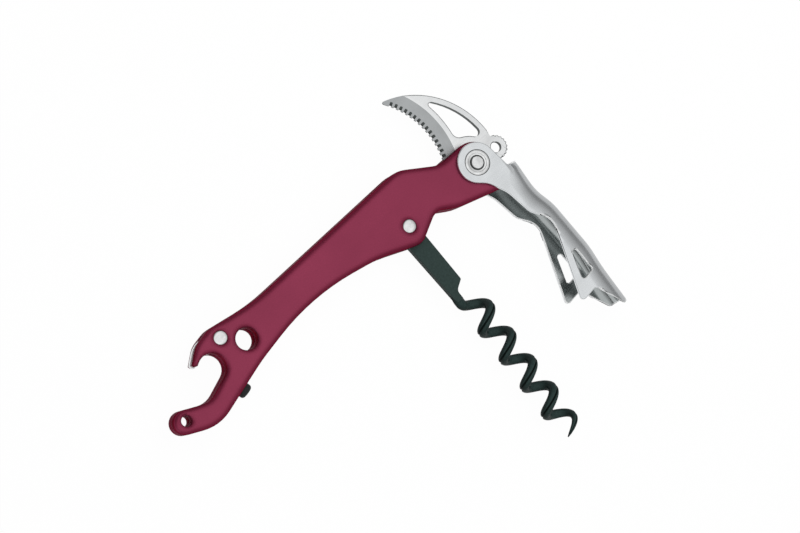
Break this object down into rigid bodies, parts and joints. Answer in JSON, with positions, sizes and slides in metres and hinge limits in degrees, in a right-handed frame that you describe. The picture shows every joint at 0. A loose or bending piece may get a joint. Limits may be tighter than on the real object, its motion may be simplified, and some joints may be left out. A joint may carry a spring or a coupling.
{
  "type": "two-step lever corkscrew",
  "caption": "Folding waiter's corkscrew with a burgundy aluminium handle, cap opener, dark worm, bent steel lever and serrated foil blade.",
  "frame": {"origin": "on the axis of the lanyard hole in the tail, at mid thickness of the handle", "axes": "+X along the handle to the main pivot, +Y to the side the foil blade opens on, +Z along the pivots' axis out of the side that faces the viewer"},
  "size_m": [0.1441, 0.1209, 0.0158],
  "materials": {
    "anodised": "satin anodised burgundy",
    "lever_steel": "satin",
    "blade_steel": "satin with a ground bevel",
    "bright_steel": "polished",
    "worm_coat": "satin dark non-stick coat",
    "rest_rubber": "matt",
    "washer_brass": "plain",
    "washer_nylon": "matt"
  },
  "bodies": {
    "handle": {"near_cheek": "anodised", "far_cheek": "anodised", "opener_plate": "blade_steel", "opener_rivet": "bright_steel", "worm_rivet": "bright_steel", "worm_bush": "washer_brass", "worm_rest": "rest_rubber", "near_worm_washer": "washer_brass", "far_worm_washer": "washer_brass", "near_blade_washer": "washer_brass", "far_blade_washer": "washer_brass"},
    "pin": {"main_pin": "bright_steel", "near_collar": "bright_steel", "far_collar": "bright_steel"},
    "lever": {"lever": "lever_steel", "near_ear_washer": "washer_nylon", "far_ear_washer": "washer_nylon"},
    "worm": {"worm": "worm_coat"},
    "blade": {"blade": "blade_steel"}
  },
  "joints": [
    {"name": "closing", "type": "hinge", "parent": "handle", "child": "pin", "pos_m": [0.125, 0, 0], "axis": [0, 0, 1], "range_deg": [-60, 0]},
    {"name": "lever_swing", "type": "hinge", "parent": "pin", "child": "lever", "pos_m": [0.125, 0, 0], "axis": [0, 0, 1], "range_deg": [-24, 8]},
    {"name": "worm_fold", "type": "hinge", "parent": "handle", "child": "worm", "pos_m": [0.0942, -0.0009, 0], "axis": [0, 0, 1], "range_deg": [-80.5, 0]},
    {"name": "blade_fold", "type": "hinge", "parent": "handle", "child": "blade", "pos_m": [0.125, 0, 0], "axis": [0, 0, 1], "range_deg": [0, 60]}
  ],
  "couplings": [
    {"joint": "worm_fold", "follows": "closing", "ratio": 1.3417}
  ]
}
